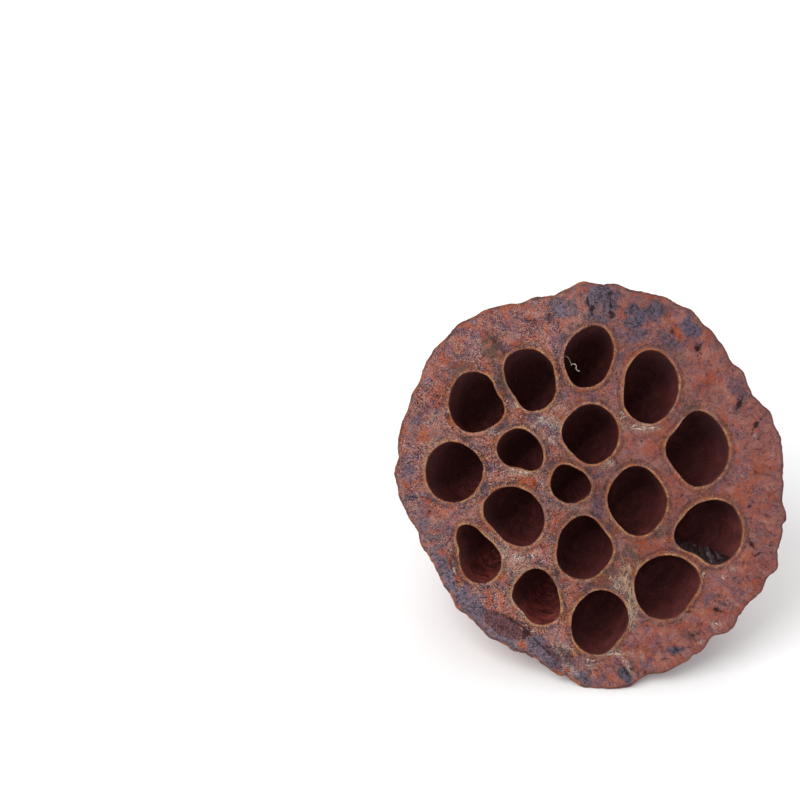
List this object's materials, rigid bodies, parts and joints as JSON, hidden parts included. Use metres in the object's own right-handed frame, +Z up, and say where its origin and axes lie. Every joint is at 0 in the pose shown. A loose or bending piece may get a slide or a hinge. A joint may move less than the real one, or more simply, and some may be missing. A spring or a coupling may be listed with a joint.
{
  "type": "dried lotus pod",
  "caption": "Dried lotus seed pod with open cells in a flat wavy-edged face, a ribbed cone behind it and a short cut stub of stem, lying on its side.",
  "frame": {"origin": "middle of the pod's box at ground level, as it lies on its side", "axes": "+X to the right along the face's width, +Y back towards the stem, +Z up; the seed face looks along -Y and up"},
  "size_m": [0.0888, 0.08, 0.0753],
  "materials": {
    "pod_skin": "matte, dry, mottled red-brown and grey-violet skin",
    "dry_stem": "matte, fibrous grey-tan"
  },
  "bodies": {
    "root": {"receptacle": "pod_skin", "stem_stub": "dry_stem"}
  },
  "joints": []
}
